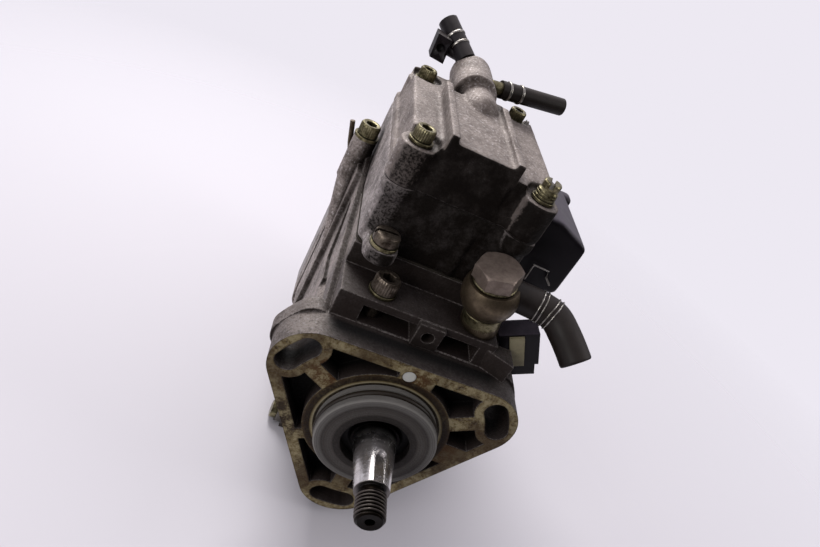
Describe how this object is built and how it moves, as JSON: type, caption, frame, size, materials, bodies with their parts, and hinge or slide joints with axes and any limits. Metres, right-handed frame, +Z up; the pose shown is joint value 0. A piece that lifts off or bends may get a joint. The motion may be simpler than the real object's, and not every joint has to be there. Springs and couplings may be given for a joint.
{
  "type": "diesel injection pump",
  "caption": "Axial-piston distributor pump with slotted flange, tapered drive shaft, governor housing and cover, fuel inlet banjo and return hose",
  "frame": {"origin": "where the shaft axis meets the front mounting face of the flange", "axes": "+Y along the shaft axis into the pump, so the shaft points along -Y; +Z up to the cover; +X to the right of someone facing the shaft"},
  "size_m": [0.117, 0.2295, 0.1954],
  "materials": {
    "cast_aluminium": "sand cast, oil stained",
    "zinc_plated_steel": "yellow zinc plate, worn",
    "ground_steel": "ground",
    "spring_steel": "drawn",
    "turned_steel": "turned",
    "bronze": "bored",
    "black_rubber": "moulded",
    "gasket_paper": "pressed",
    "black_plastic": "moulded",
    "cream_plastic": "moulded",
    "laminated_iron": "stamped"
  },
  "bodies": {
    "housing": {"actuator_stator": "laminated_iron", "banjo_bolt": "zinc_plated_steel", "banjo_eye": "zinc_plated_steel", "banjo_washers": "zinc_plated_steel", "cap_screws": "zinc_plated_steel", "centre_plug": "turned_steel", "control_module": "black_plastic", "cover_shear_screw": "zinc_plated_steel", "delivery_valve_holders": "turned_steel", "distributor_head": "turned_steel", "foot_screw": "zinc_plated_steel", "gallery_plug": "ground_steel", "governor_housing": "cast_aluminium", "harness_plug": "black_plastic", "head_screws": "turned_steel", "housing_gasket": "gasket_paper", "inlet_clips": "spring_steel", "inlet_hose": "black_rubber", "inlet_seat": "zinc_plated_steel", "pilot_o_ring": "black_rubber", "plate_screws": "zinc_plated_steel", "plug_bracket": "zinc_plated_steel", "plug_lock": "cream_plastic", "pressure_valve": "turned_steel", "pump_housing": "cast_aluminium", "return_clips": "spring_steel", "return_hose": "black_rubber", "return_nipple": "zinc_plated_steel", "return_springs": "spring_steel", "return_tee": "black_plastic", "shaft_bush": "bronze", "shaft_seal": "black_rubber", "shutdown_solenoid": "turned_steel", "supply_plate": "ground_steel", "supply_ring": "ground_steel", "timing_cover_screws": "zinc_plated_steel", "timing_covers": "zinc_plated_steel", "timing_solenoid": "turned_steel", "timing_spring": "spring_steel", "top_cover": "cast_aluminium", "washers": "zinc_plated_steel"},
    "drive": {"drive_shaft": "ground_steel", "supply_rotor": "ground_steel", "supply_vanes": "ground_steel", "cross_disc": "ground_steel"},
    "plunger": {"cam_plate": "ground_steel", "plunger": "ground_steel"},
    "bridge": {"spring_bridge": "spring_steel"},
    "timing": {"timing_piston": "turned_steel"},
    "ring": {"roller_ring": "ground_steel", "roller_pins": "ground_steel"},
    "actuator": {"actuator_rotor": "ground_steel"},
    "collar": {"control_collar": "ground_steel"},
    "armature": {"solenoid_armature": "laminated_iron"},
    "roller_1_body": {"roller_1": "ground_steel"},
    "roller_2_body": {"roller_2": "ground_steel"},
    "roller_3_body": {"roller_3": "ground_steel"},
    "roller_4_body": {"roller_4": "ground_steel"}
  },
  "joints": [
    {"name": "drive_shaft_spin", "type": "hinge", "parent": "housing", "child": "drive", "pos_m": [0, 0, 0], "axis": [0, 1, 0], "continuous": true},
    {"name": "plunger_stroke", "type": "slide", "parent": "drive", "child": "plunger", "axis": [0, 1, 0], "range_m": [-0.0022, 0]},
    {"name": "spring_bridge_slide", "type": "slide", "parent": "housing", "child": "bridge", "axis": [0, 1, 0], "range_m": [-0.0022, 0]},
    {"name": "timing_piston_slide", "type": "slide", "parent": "housing", "child": "timing", "axis": [1, 0, 0], "range_m": [-0.004, 0.004]},
    {"name": "roller_ring_turn", "type": "hinge", "parent": "housing", "child": "ring", "pos_m": [0, 0.0595, 0], "axis": [0, 1, 0], "range_deg": [-4.9, 4.9]},
    {"name": "actuator_turn", "type": "hinge", "parent": "housing", "child": "actuator", "pos_m": [-0.00309, 0.0946, 0.07], "axis": [0, 0, 1], "range_deg": [0, 60]},
    {"name": "control_collar_slide", "type": "slide", "parent": "housing", "child": "collar", "axis": [0, 1, 0], "range_m": [0, 0.0032]},
    {"name": "armature_lift", "type": "slide", "parent": "housing", "child": "armature", "axis": [0, 0, 1], "range_m": [0, 0.0012]},
    {"name": "roller_1_spin", "type": "hinge", "parent": "ring", "child": "roller_1_body", "pos_m": [0.01697, 0.065, 0.01697], "axis": [0.7071, 0, 0.7071], "continuous": true},
    {"name": "roller_2_spin", "type": "hinge", "parent": "ring", "child": "roller_2_body", "pos_m": [-0.01697, 0.065, 0.01697], "axis": [-0.7071, 0, 0.7071], "continuous": true},
    {"name": "roller_3_spin", "type": "hinge", "parent": "ring", "child": "roller_3_body", "pos_m": [-0.01697, 0.065, -0.01697], "axis": [-0.7071, 0, -0.7071], "continuous": true},
    {"name": "roller_4_spin", "type": "hinge", "parent": "ring", "child": "roller_4_body", "pos_m": [0.01697, 0.065, -0.01697], "axis": [0.7071, 0, -0.7071], "continuous": true}
  ],
  "couplings": [
    {"joint": "spring_bridge_slide", "follows": "plunger_stroke", "ratio": 1},
    {"joint": "roller_ring_turn", "follows": "timing_piston_slide", "rad_per_m": -21.277},
    {"joint": "control_collar_slide", "follows": "actuator_turn", "m_per_rad": 0.0030558},
    {"joint": "roller_1_spin", "follows": "drive_shaft_spin", "ratio": -4},
    {"joint": "roller_2_spin", "follows": "drive_shaft_spin", "ratio": -4},
    {"joint": "roller_3_spin", "follows": "drive_shaft_spin", "ratio": -4},
    {"joint": "roller_4_spin", "follows": "drive_shaft_spin", "ratio": -4}
  ]
}
